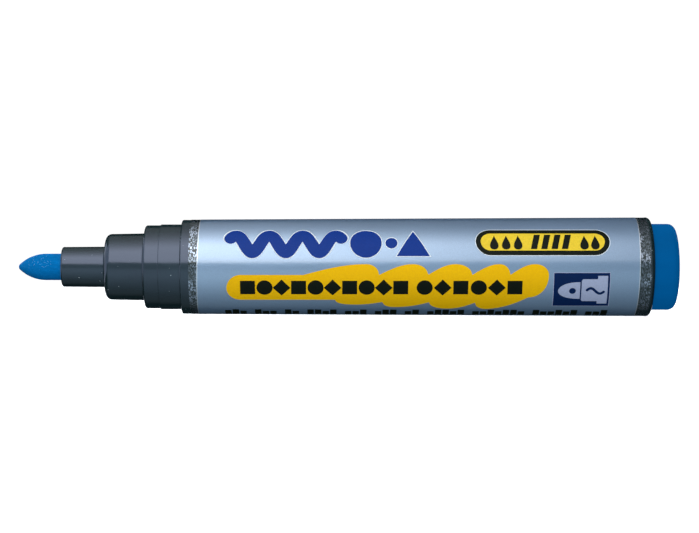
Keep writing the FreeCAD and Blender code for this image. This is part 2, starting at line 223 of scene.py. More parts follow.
def on_label(along, round_label, lift):
    """Points above the label's outside: the angle is the way round divided by the radius."""
    radius = label_radius(along)
    return on_axis(along, round_label / radius, radius + lift)


def grid_faces(index, joined):
    """Quads between neighbours of a grid of vertex numbers, joined up in its first direction."""
    if joined:
        index = np.concatenate([index, index[..., :1, :]], axis=-2)
    corners = (
        index[..., :-1, :-1],
        index[..., 1:, :-1],
        index[..., 1:, 1:],
        index[..., :-1, 1:],
    )
    return np.stack(corners, axis=-1).reshape(-1, 4)


def faces_of(points, joined):
    """Quads of a whole grid of points, joined up in its first direction or left open."""
    return grid_faces(np.arange(points[..., 0].size).reshape(points.shape[:-1]), joined)


def make_piece(name, points, faces, material, body, sharp=35):
    """A mesh object of quads: ends are welded, faces turned outwards and corners kept sharp."""
    mesh = bpy.data.meshes.new(name)
    mesh.from_pydata(np.ascontiguousarray(points).reshape(-1, 3), [], faces.tolist())
    shape = bmesh.new()
    shape.from_mesh(mesh)
    bmesh.ops.remove_doubles(shape, verts=shape.verts, dist=1e-4 * MM)
    bmesh.ops.recalc_face_normals(shape, faces=shape.faces)
    shape.to_mesh(mesh)
    shape.free()
    mesh.polygons.foreach_set("use_smooth", np.ones(len(mesh.polygons), bool))
    mesh.set_sharp_from_angle(angle=math.radians(sharp))
    mesh.materials.append(material)
    piece = bpy.data.objects.new(name, mesh)
    bpy.context.scene.collection.objects.link(piece)
    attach(piece, body)
    return piece


def make_sheets(name, top, bottom, material, joined=False, pole=False):
    """Closed thin sheets: a top grid, a bottom grid and the walls between their edges.

    The grids are (sheet, first direction, second direction, 3).  Joined sheets close up in
    the first direction, and a pole is where the second direction starts in one point.
    """
    count = top[..., 0].size
    upper = np.arange(count).reshape(top.shape[:-1])
    lower = upper + count
    faces = [grid_faces(upper, joined), grid_faces(lower, joined)]
    sides = [-1] if pole else [0, -1]
    for side in sides:
        wall = np.stack([upper[..., side], lower[..., side]], axis=-1)
        faces.append(grid_faces(wall, joined))
    if not joined:
        for end in (0, -1):
            wall = np.stack([upper[..., end, :], lower[..., end, :]], axis=-1)
            faces.append(grid_faces(wall, False))
    points = np.concatenate([top.reshape(-1, 3), bottom.reshape(-1, 3)])
    return make_piece(name, points, np.concatenate(faces), material, "barrel")


def make_ink(name, along, round_label, layer, material, joined=False, pole=False):
    """Ink on the label, given in millimetres, as thin closed sheets on the given layer."""
    sizes = settings()[0]
    along, round_label = np.broadcast_arrays(along * MM, round_label * MM)
    shape = (-1, *along.shape[-2:])
    along, round_label = along.reshape(shape), round_label.reshape(shape)
    lift = layer * sizes.ink_step - sizes.print_sink
    top = on_label(along, round_label, lift)
    bottom = on_label(along, round_label, lift - sizes.ink_depth)
    return make_sheets(name, top, bottom, material, joined, pole)


def make_turned(name, along, radius, material, body):
    """A surface turned about the marker's axis, with a row of radii for each direction."""
    points = on_axis(along, once_round(len(radius))[:, None], radius)
    return make_piece(name, points, faces_of(points, True), material, body)


def smooth_noise(seed, first, second, cells_first, cells_second):
    """Noise from -1 to 1 on two coordinates from 0 to 1, joined up in the first one.

    Random numbers on a lattice are blended between their four neighbours by 3t^2 - 2t^3.
    """
    lattice = np.random.default_rng(seed).uniform(-1, 1, (cells_first, cells_second + 2))
    a, b = np.broadcast_arrays(first * cells_first, second * cells_second)
    i, j = np.floor(a).astype(int), np.floor(b).astype(int)
    s, t = a - i, b - j
    s, t = s * s * (3 - 2 * s), t * t * (3 - 2 * t)
    i, j = i % cells_first, np.clip(j, 0, cells_second)
    k = (i + 1) % cells_first
    low = lattice[i, j] * (1 - s) + lattice[k, j] * s
    high = lattice[i, j + 1] * (1 - s) + lattice[k, j + 1] * s
    return low * (1 - t) + high * t


# ---------------------------------------------------------------- shapes of ink, in millimetres


def even(start, end, count):
    """Evenly spaced numbers from start to end."""
    return np.linspace(start, end, count)


def round_ended(start, end, count):
    """Numbers from start to end that crowd at both ends, which round ends need."""
    return start + (end - start) * (1 - np.cos(np.pi * even(0, 1, count))) / 2


def round_end(distance, radius):
    """Half the width at a distance from a half-round end: sqrt(r^2 - (r - d)^2), held past r."""
    distance = np.minimum(distance, radius)
    return np.sqrt(np.maximum(radius**2 - (radius - distance) ** 2, 0))


def band(along, low, high, rows):
    """Grids along and round the label that fill the space between two edges."""
    share = even(0, 1, rows)
    along = np.broadcast_to(along[:, None], (along.size, rows))
    return along, low[:, None] * (1 - share) + high[:, None] * share


def rectangle(left, right, low, high, columns=24, rows=24):
    """A plain rectangle as a band with level edges."""
    along = even(left, right, columns)
    return band(along, np.full(columns, low), np.full(columns, high), rows)


def stadium(left, right, low, high, inset, count=96):
    """A bar with half-round ends, drawn in by inset: its outline's two coordinates.

    The angle runs once round.  Its left half belongs to the left end and its right half to
    the right end, and the straight sides lie between them.
    """
    radius = (high - low) / 2
    angle = even(-np.pi / 2, 3 * np.pi / 2, 2 * count)
    centre = np.where(np.arange(2 * count) < count, right - radius, left + radius)
    middle = (high + low) / 2
    reach = radius - inset
    return centre + reach * np.cos(angle), middle + reach * np.sin(angle)


def ring_of_stadium(left, right, low, high, width, columns=4):
    """The rim of a bar with half-round ends, from its outside to width inside it."""
    insets = even(0, width, columns)
    outlines = [stadium(left, right, low, high, inset) for inset in insets]
    return tuple(np.stack(parts, axis=-1) for parts in zip(*outlines))


def field_of_stadium(left, right, low, high):
    """A filled bar with half-round ends, as a band between its lower and upper edges."""
    radius = (high - low) / 2
    along = np.concatenate(
        [
            round_ended(left, left + 2 * radius, 64)[:32],
            even(left + radius, right - radius, 48),
            round_ended(right - 2 * radius, right, 64)[32:],
        ]
    )
    half = round_end(np.minimum(along - left, right - along), radius)
    middle = (high + low) / 2
    return band(along, middle - half, middle + half, 20)


def stroke(along, across, width, rows=9):
    """A drawn line: its middle moved to both sides along its normal, with round ends.

    The width shrinks at both ends as a half circle does, over half the width.
    """
    run = np.concatenate([[0], np.cumsum(np.hypot(np.diff(along), np.diff(across)))])
    half = round_end(np.minimum(run, run[-1] - run), width / 2)
    slope_along, slope_across = np.gradient(along), np.gradient(across)
    speed = np.hypot(slope_along, slope_across)
    side = even(-1, 1, rows) * half[:, None]
    return (
        along[:, None] - side * (slope_across / speed)[:, None],
        across[:, None] + side * (slope_along / speed)[:, None],
    )


def wave(left, right, middle, height, waves, count=260):
    """The middle of a wavy drawn line, with points crowding at its round ends."""
    along = round_ended(left, right, count)
    phase = (along - left) / (right - left)
    return along, middle + height / 2 * np.sin(2 * np.pi * waves * phase)


def marks(along, across, reach, corners, turn, rings=5, count=72):
    """Filled marks about the given middles: discs or even-sided shapes with crisp corners.

    The outline's distance from the middle is that of an even-sided polygon, cos(pi/n) over
    cos(angle from the middle of the nearest side), or 1 for a disc, which has 0 corners.
    """
    along, across, reach, corners, turn = (
        np.reshape(np.asarray(values, float), (-1, 1, 1))
        for values in np.broadcast_arrays(along, across, reach, corners, turn)
    )
    angle = once_round(count)[None, :, None]
    sides = np.where(corners > 0, corners, 3)
    sector = 2 * np.pi / sides
    polygon = np.cos(np.pi / sides) / np.cos(np.mod(angle, sector) - sector / 2)
    outline = np.where(corners > 0, polygon, 1.0)
    out = reach * outline * even(0, 1, rings)[None, None, :]
    return along + out * np.cos(angle + turn), across + out * np.sin(angle + turn)


def drops(along, across, height, count=48, rings=5):
    """Filled ink drops: across = cos(t), along = sin(t) sin(t/2)^2 scaled to the drop's height."""
    along, across = (np.reshape(values, (-1, 1, 1)) for values in (along, across))
    t = once_round(count)[None, :, None]
    share = even(0, 1, rings)[None, None, :]
    centre, fatness = -0.35, 0.78
    base = centre * height / 2
    wide = fatness * height / 2 * np.sin(t) * np.sin(t / 2) ** 2
    tall = height / 2 * np.cos(t)
    return along + share * wide, across + base + share * (tall - base)


def bars(left, low, width, height, slant=0.0, columns=4, rows=8):
    """Filled upright bars, one for each left edge, leaning by slant times their height."""
    left, low, width, height = (
        np.reshape(values, (-1, 1, 1)) for values in np.broadcast_arrays(left, low, width, height)
    )
    u = even(0, 1, columns)[None, :, None]
    v = even(0, 1, rows)[None, None, :]
    return left + u * width + slant * v * height, low + v * height + 0 * u


# ---------------------------------------------------------------- materials


def set_inputs(tree, node, inputs):
    """Sets each named or numbered input, or links it from a socket or a node's first output."""
    for name, value in inputs.items():
        if isinstance(value, bpy.types.Node):
            value = value.outputs[0]
        if isinstance(value, bpy.types.NodeSocket):
            tree.links.new(value, node.inputs[name])
        else:
            node.inputs[name].default_value = value


def add_node(tree, kind, inputs=None, **options):
    """Adds a node, sets its options and then its inputs."""
    node = tree.nodes.new(kind)
    for option, value in options.items():
        setattr(node, option, value)
    set_inputs(tree, node, inputs or {})
    return node


def empty_material(name):
    """A material with no nodes yet."""
    material = bpy.data.materials.new(name)
    material.use_nodes = True
    material.node_tree.nodes.clear()
    return material, material.node_tree


def start_material(name, finish):
    """A material with one Principled shader, whose plain values are set on its own sockets."""
    material, tree = empty_material(name)
    shader = add_node(tree, "ShaderNodeBsdfPrincipled", finish)
    add_node(tree, "ShaderNodeOutputMaterial", {"Surface": shader})
    return material, tree, shader


def cloudy(tree, size, stretch=(1, 1, 1), detail=2.0, distortion=0.0):
    """A cloudy pattern in the piece's own space, whose lumps are about the given size across."""
    place = add_node(tree, "ShaderNodeTexCoord").outputs["Object"]
    scale = tuple(1 / part for part in stretch)
    scaled = add_node(tree, "ShaderNodeMapping", {"Vector": place, "Scale": scale})
    inputs = {"Vector": scaled, "Scale": 1 / size, "Detail": detail, "Distortion": distortion}
    return add_node(tree, "ShaderNodeTexNoise", inputs)


def mottled(tree, pattern, low, high, first, second, least=0.0, most=1.0):
    """One colour that turns into a second as a pattern rises from low to high.

    The second colour's share runs smoothly from least to most and is held there.
    """
    inputs = {0: pattern, 1: low, 2: high, 3: least, 4: most}
    share = add_node(tree, "ShaderNodeMapRange", inputs, interpolation_type="SMOOTHSTEP")
    inputs = {0: share, 6: first, 7: second}
    return add_node(tree, "ShaderNodeMix", inputs, data_type="RGBA").outputs[2]


def relief(tree, shader, *layers):
    """Bumps one on another, each from a pattern from 0 to 1, a real depth and a strength."""
    below = {}
    for pattern, depth, strength in layers:
        inputs = {"Height": pattern, "Distance": depth, "Strength": strength, **below}
        below = {"Normal": add_node(tree, "ShaderNodeBump", inputs)}
    set_inputs(tree, shader, below)


def shade(colour_value, factor):
    """A colour made lighter or darker."""
    return (*(min(1.0, part * factor) for part in colour_value[:3]), 1.0)


def moulded_polypropylene(name, base, roughness, spread, specular, dust, painted_glow):
    """Injection moulded polypropylene.

    The polished mould leaves a satin gloss with a faint orange peel.  Flow of the melt leaves
    cloudy patches that differ a little in colour and, by the spread, in roughness.  Dust is how
    strongly the few motes on it show.  The last argument is a painted glow: the piece glows in
    its own colour though it is no lamp, and its base colour is darkened by the same share.  It
    stands in for light that soaks through a translucent piece and evens out its shading.
    """
    finish = {
        "Roughness": roughness,
        "IOR": 1.49,
        "Specular IOR Level": specular,
        "Specular Tint": COLD_GLOSS,
        # Painted glow: emission in the piece's own colour, so the piece glows though it is no
        # lamp.
        "Emission Color": base,
        "Emission Strength": painted_glow,
    }
    material, tree, shader = start_material(name, finish)
    clouds = cloudy(tree, 5 * MM, (3, 1, 1), 3.0)
    # The base colour is darkened by the share of the painted glow.
    share_left_by_glow = 1 - painted_glow
    tinted = mottled(tree, clouds, 0.35, 0.65, shade(base, 0.88 * share_left_by_glow), shade(base, 1.12 * share_left_by_glow))
    motes = cloudy(tree, 0.42 * MM, detail=0.0)
    dusty = mottled(tree, motes, 0.845, 0.87, tinted, DUST, most=dust)
    inputs = {0: clouds, 1: 0.3, 2: 0.7, 3: roughness - spread, 4: roughness + spread}
    gloss = add_node(tree, "ShaderNodeMapRange", inputs, interpolation_type="SMOOTHSTEP")
    set_inputs(tree, shader, {"Base Color": dusty, "Roughness": gloss})
    peel, grain = cloudy(tree, 0.55 * MM), cloudy(tree, 0.09 * MM)
    relief(tree, shader, (peel, 0.0015 * MM, 0.6), (grain, 0.0008 * MM, 0.5))
    return material


def bonded_fibre(name, base):
    """Polyester fibres bonded into a rod and ground to a point, wet with ink.

    Fibres run along the rod, so its side is finely streaked, and its ground point shows their
    cut ends as a fine stipple.  Wet ink makes it deep in colour and leaves hardly any gloss.
    A real fibre is 0.02 mm thick, and these streaks are drawn 0.1 mm wide so that they show.
    """
    finish = {"Roughness": 0.85, "IOR": 1.45, "Specular IOR Level": 0.05}
    material, tree, shader = start_material(name, finish)
    streaks = cloudy(tree, 0.10 * MM, (9, 1, 1), 3.0)
    patches = cloudy(tree, 1.1 * MM, (2, 1, 1))
    ends = cloudy(tree, 0.13 * MM, detail=1.0)
    tinted = mottled(tree, streaks, 0.35, 0.7, shade(base, 0.86), shade(base, 1.12))
    wet = mottled(tree, patches, 0.45, 0.75, tinted, shade(base, 1.22), most=0.4)
    stippled = mottled(tree, ends, 0.72, 0.78, wet, CUT_FIBRE, most=0.5)
    set_inputs(tree, shader, {"Base Color": stippled})
    relief(tree, shader, (streaks, 0.012 * MM, 0.8), (ends, 0.01 * MM, 0.6))
    return material


def metallised_film(name, base, metal):
    """Film coated with aluminium vapour, laminated, and either bare or printed a silvery blue.

    Metal is how much of the aluminium shows through: it gives a broad bright band of light,
    and the laminate a narrower one over it.  The film, wound round by machine, has faint
    ripples along it and a fine metallic grain.
    """
    finish = {
        "Metallic": metal,
        "Roughness": 0.32,
        "IOR": 1.55,
        "Specular IOR Level": 0.6,
        "Coat Weight": 1.0,
        "Coat Roughness": 0.16,
        "Coat IOR": 1.75,
    }
    material, tree, shader = start_material(name, finish)
    grain = cloudy(tree, 0.16 * MM, detail=3.0)
    drift = cloudy(tree, 9 * MM, (2.5, 1, 1))
    ripples = cloudy(tree, 2.6 * MM, (5, 1, 1), distortion=0.4)
    grainy = mottled(tree, grain, 0.3, 0.7, shade(base, 0.93), shade(base, 1.07))
    uneven = mottled(tree, drift, 0.3, 0.7, grainy, shade(base, 1.12), most=0.35)
    inputs = {0: drift, 1: 0.3, 2: 0.7, 3: 0.29, 4: 0.36}
    gloss = add_node(tree, "ShaderNodeMapRange", inputs, interpolation_type="SMOOTHSTEP")
    set_inputs(tree, shader, {"Base Color": uneven, "Roughness": gloss})
    relief(tree, shader, (ripples, 0.02 * MM, 0.6), (grain, 0.002 * MM, 0.35))
    return material


def clear_film_on_plastic(name, base, fleck, cover):
    """Clear film laid on dark plastic.

    Where the film touches, the dark plastic shows through it.  Air caught under it shows as
    silvery flecks about 0.3 mm across.  They thin out in patches about 2.4 mm across, where
    cover is the share of them that is left.
    """
    finish = {"Roughness": 0.2, "IOR": 1.5, "Specular IOR Level": 0.3, "Coat Weight": 0.3}
    material, tree, shader = start_material(name, finish)
    air = cloudy(tree, 0.34 * MM, (0.7, 1, 1.3), 4.0, 0.6)
    patches = cloudy(tree, 2.4 * MM)
    fine, where = (
        add_node(tree, "ShaderNodeMapRange", inputs, interpolation_type="SMOOTHSTEP")
        for inputs in (
            {0: air, 1: 0.44, 2: 0.6, 3: 0.0, 4: 1.0},
            {0: patches, 1: 0.34, 2: 0.6, 3: cover, 4: 1.0},
        )
    )
    share = add_node(tree, "ShaderNodeMath", {0: fine, 1: where}, operation="MULTIPLY")
    flecked = add_node(tree, "ShaderNodeMix", {0: share, 6: base, 7: fleck}, data_type="RGBA")
    metal, gloss = (
        add_node(tree, "ShaderNodeMapRange", inputs, interpolation_type="SMOOTHSTEP")
        for inputs in (
            {0: share, 1: 0, 2: 0.35, 3: 0.0, 4: 1.0},
            {0: share, 1: 0, 2: 1, 3: 0.16, 4: 0.3},
        )
    )
    linked = {"Base Color": flecked.outputs[2], "Metallic": metal, "Roughness": gloss}
    set_inputs(tree, shader, linked)
    relief(tree, shader, (air, 0.01 * MM, 0.6))
    return material


def printed_ink(name, base):
    """Ink printed by a roller on metallised film, under the same laminate.

    Its pigment hides the metal, the roller leaves it faintly mottled, and only a trace of the
    laminate's gloss shows over it.
    """
    finish = {
        "Roughness": 0.45,
        "IOR": 1.5,
        "Specular IOR Level": 0.08,
        "Coat Weight": 0.04,
        "Coat Roughness": 0.25,
    }
    material, tree, shader = start_material(name, finish)
    mottle = cloudy(tree, 0.3 * MM, detail=3.0)
    drift = cloudy(tree, 6 * MM, (3, 1, 1))
    tinted = mottled(tree, mottle, 0.3, 0.7, shade(base, 0.93), shade(base, 1.06))
    uneven = mottled(tree, drift, 0.35, 0.65, tinted, shade(base, 0.93), most=0.4)
    set_inputs(tree, shader, {"Base Color": uneven})
    relief(tree, shader, (mottle, 0.002 * MM, 0.3))
    return material


def wound_fibre(name, base):
    """Polyester fibre drawn into a soft rod and soaked in ink: long streaks, hardly any gloss."""
    finish = {"Roughness": 0.9, "Specular IOR Level": 0.15}
    material, tree, shader = start_material(name, finish)
    strands = cloudy(tree, 0.16 * MM, (14, 1, 1), 3.0)
    streaked = mottled(tree, strands, 0.3, 0.7, shade(base, 0.7), shade(base, 1.25))
    set_inputs(tree, shader, {"Base Color": streaked})
    relief(tree, shader, (strands, 0.03 * MM, 1.0))
    return material


def film_sleeve(name):
    """Thin polypropylene film drawn round the fibre rod: milky, with fine lengthwise creases and
    painted shade in their hollows.
    """
    material, tree, shader = start_material(name, {"Roughness": 0.3, "IOR": 1.49})
    creases = cloudy(tree, 0.7 * MM, (12, 1, 1), 3.0)
    # Painted shade: the film is darker where the creases sink.
    milky_with_crease_shade = mottled(tree, creases, 0.35, 0.65, CREASE_SHADE_FILM, SMOOTH_FILM)
    set_inputs(tree, shader, {"Base Color": milky_with_crease_shade})
    relief(tree, shader, (creases, 0.05 * MM, 0.6))
    return material


# ---------------------------------------------------------------- pieces


def refinish(node, material):
    """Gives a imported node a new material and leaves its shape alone."""
    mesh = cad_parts[node].data
    if mesh.materials:
        mesh.materials[0] = material
    else:
        mesh.materials.append(material)


class MARKER_OT_plastics(bpy.types.Operator):
    """Finish the moulded pieces: the front section, the barrel and the tail plug"""

    bl_idname = "marker.plastics"
    bl_label = "Moulded pieces"

    def execute(self, context):
        colours = settings()[1]
        dark = moulded_polypropylene(
            "dark_polypropylene_moulded",
            colours.dark_plastic,
            roughness=0.14,
            spread=0.03,
            specular=0.76,
            dust=0.8,
            painted_glow=0,
        )
        # The tail plug gets a painted glow in its own colour, which evens out its shading.
        blue = moulded_polypropylene(
            "blue_polypropylene_moulded",
            colours.blue_plastic,
            roughness=0.7,
            spread=0.04,
            specular=0.03,
            dust=0,
            painted_glow=0.52,
        )
        refinish("front_section", dark)
        refinish("barrel", dark)
        refinish("tail_plug", blue)
        return {"FINISHED"}


class MARKER_OT_reservoir(bpy.types.Operator):
    """Finish the ink reservoir inside the barrel: its fibre rod and its film sleeve"""

    bl_idname = "marker.reservoir"
    bl_label = "Ink reservoir"

    def execute(self, context):
        colours = settings()[1]
        refinish("reservoir_core", wound_fibre("polyester_fibre_rod", colours.reservoir))
        refinish("reservoir_film", film_sleeve("polypropylene_film_sleeve"))
        return {"FINISHED"}


class MARKER_OT_nib(bpy.types.Operator):
    """Make the fibre nib with its ground point and the stray fibres on it"""

    bl_idname = "marker.nib"
    bl_label = "Fibre nib"

    def execute(self, context):
        sizes, colours, _ = settings()
        felt = bonded_fibre("bonded_polyester_fibre_blue_ink", colours.nib)
        nib = self.make_rod(sizes, felt)
        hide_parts("nib")
        loose = bonded_fibre("loose_polyester_fibre", colours.fibre)
        self.make_fibres(sizes, loose)
        return {"FINISHED"}

    def outline(self, sizes, distance):
        """The nib's radius at a distance from its tip.

        A small round tip runs into a long arc that it touches, and the arc into the rod.
        The inner end is a short taper.
        """
        tip, point = sizes.nib_tip_radius, sizes.nib_point_length
        rod = (NIB_HIGH.z - NIB_LOW.z) / 2
        whole = NIB_HIGH.x - NIB_LOW.x
        flank = ((point - tip) ** 2 + rod**2 - tip**2) / (2 * (rod - tip))
        slope = math.atan2(flank - rod, point - tip)
        join = tip - tip * math.cos(slope)
        at_tip = np.sqrt(np.maximum(tip**2 - (distance - tip) ** 2, 0))
        at_flank = rod - flank + np.sqrt(np.maximum(flank**2 - (distance - point) ** 2, 0))
        radius = np.where(distance < join, at_tip, at_flank)
        radius = np.where(distance > point, rod, radius)
        taper_length, taper_depth = 3 * MM, 1 * MM
        taper = np.clip((distance - whole + taper_length) / taper_length, 0, 1)
        return radius - taper * taper_depth

    def make_rod(self, sizes, material):
        """The nib turned from its outline, with fibres that lift or sink its bare surface."""
        whole = NIB_HIGH.x - NIB_LOW.x
        fine = sizes.nib_bare_length + 1 * MM
        share = even(0, 1, 170)
        distance = np.concatenate([fine * share**1.6, even(fine, whole, 12)[1:]])
        radius = self.outline(sizes, distance)
        turn = once_round(192)[:, None] / (2 * np.pi)
        run = (distance / fine)[None, :].clip(0, 1)
        lumps = smooth_noise(7, turn, run, 26, 9)
        strands = smooth_noise(8, turn, run, 96, 26)
        smooth_at_nose, smooth_at_tip = 0.8 * MM, 0.25 * MM
        bare = np.clip((sizes.nib_bare_length - distance) / smooth_at_nose, 0, 1)
        at_tip = np.clip(distance / smooth_at_tip, 0, 1)
        lift = sizes.nib_roughness * (0.55 * lumps + 0.45 * strands - 0.6)
        radius = np.maximum(radius + lift * bare * at_tip, 0)
        radius = np.concatenate([radius, np.zeros((turn.size, 1))], axis=1)
        distance = np.append(distance, whole)
        radius[:, 0] = 0
        along = NIB_LOW.x + distance
        return make_turned("nib_felt", along, radius, material, "nib")

    def make_fibres(self, sizes, material):
        """Short loose fibres on the point: thin tapered tubes carried along curved paths."""
        count, steps, sides = 34, 10, 5
        clearance, thickness = 0.006 * MM, 0.014 * MM
        chance = np.random.default_rng(21)
        start = chance.normal(3.9, 1.1, count).clip(1.2, 7.2) * MM
        angle = np.radians(chance.normal(22, 20, count))
        reach = chance.uniform(0.16, 0.5, count) * MM
        heading = chance.uniform(-1.3, 1.3, count)
        bend = chance.normal(0, 1.2, count)
        t = even(0, 1, steps)[None, :]
        turning = heading[:, None] + bend[:, None] * t
        distance = start[:, None] + np.cumsum(np.cos(turning), axis=1) * reach[:, None] / steps
        surface = self.outline(sizes, distance)
        sweep = np.cumsum(np.sin(turning), axis=1) * reach[:, None] / steps
        around = angle[:, None] + sweep / surface
        middle = on_axis(NIB_LOW.x + distance, around, surface + clearance)
        forward = np.gradient(middle, axis=1)
        forward /= np.linalg.norm(forward, axis=-1, keepdims=True)
        outward = np.stack([np.zeros_like(around), -np.cos(around), np.sin(around)], axis=-1)
        sideways = np.cross(forward, outward)
        thick = thickness * np.sqrt(np.maximum(1 - (2 * t - 1) ** 2, 0))[..., None, None]
        turn = once_round(sides)[None, None, :, None]
        ring = np.cos(turn) * outward[:, :, None] + np.sin(turn) * sideways[:, :, None]
        points = (middle[:, :, None] + thick * ring).transpose(0, 2, 1, 3)
        faces = faces_of(points, True)
        return make_piece(
            "nib_stray_fibres", points, faces, material, "nib", sharp=180
        )


class MARKER_OT_label(bpy.types.Operator):
    """Make the label's films: the clear film, the printed film, its bare edges and its lap"""

    bl_idname = "marker.label"
    bl_label = "Label films"

    def execute(self, context):
        sizes, colours, _ = settings()
        print_front = LABEL_LOW.x + sizes.front_margin
        print_rear = LABEL_HIGH.x - sizes.rear_margin
        clear = clear_film_on_plastic(
            "clear_film_on_dark_plastic", colours.dark_plastic, colours.fleck, cover=0.3
        )
        printed = metallised_film("metallised_film_blue_print", colours.silver, metal=0.42)
        bare = metallised_film("metallised_film_bare", colours.bare, metal=0.75)
        film = self.make_sleeve(
            "label_clear_film", LABEL_LOW.x, LABEL_HIGH.x, -sizes.film_sink, clear, tilt=0.0
        )
        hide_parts("label")
        tilt = sizes.edge_tilt
        self.make_sleeve(
            "label_print_film", print_front, print_rear, -sizes.print_sink, printed, tilt
        )
        edges = {"front": print_front, "rear": print_rear - sizes.bare_edge}
        for end, place in edges.items():
            self.make_sleeve(
                f"label_bare_edge_{end}",
                place,
                place + sizes.bare_edge,
                sizes.ink_step / 2 - sizes.print_sink,
                bare,
                tilt,
            )
        self.make_lap(sizes, print_front, print_rear, printed)
        return {"FINISHED"}

    def make_sleeve(self, name, front, rear, lift, material, tilt):
        """A closed thin sleeve round the label, whose ends lean by tilt times their height."""
        thickness = 0.018 * MM
        angle = once_round(288)[None, :, None]
        share = even(0, 1, 7)[None, None, :]
        radius = label_radius(front)
        along = front + (rear - front) * share + tilt * radius * np.sin(angle)
        outside = label_radius(along) + lift
        top = on_axis(along, angle, outside)
        bottom = on_axis(along, angle, outside - thickness)
        return make_sheets(name, top, bottom, material, joined=True)

    def make_lap(self, sizes, front, rear, material):
        """The label's overlapping edge at the back: a strip along it, between two ink layers."""
        end_gap, half_turns, layer = 0.3, 0.86, 1.5
        along = even(front / MM + end_gap, rear / MM - end_gap, 40)
        low = np.full(along.size, half_turns * math.pi * LABEL_FRONT_RADIUS / MM)
        lap = band(along, low, low + sizes.lap_width / MM, 16)
        return make_ink("label_lap", *lap, layer, material)


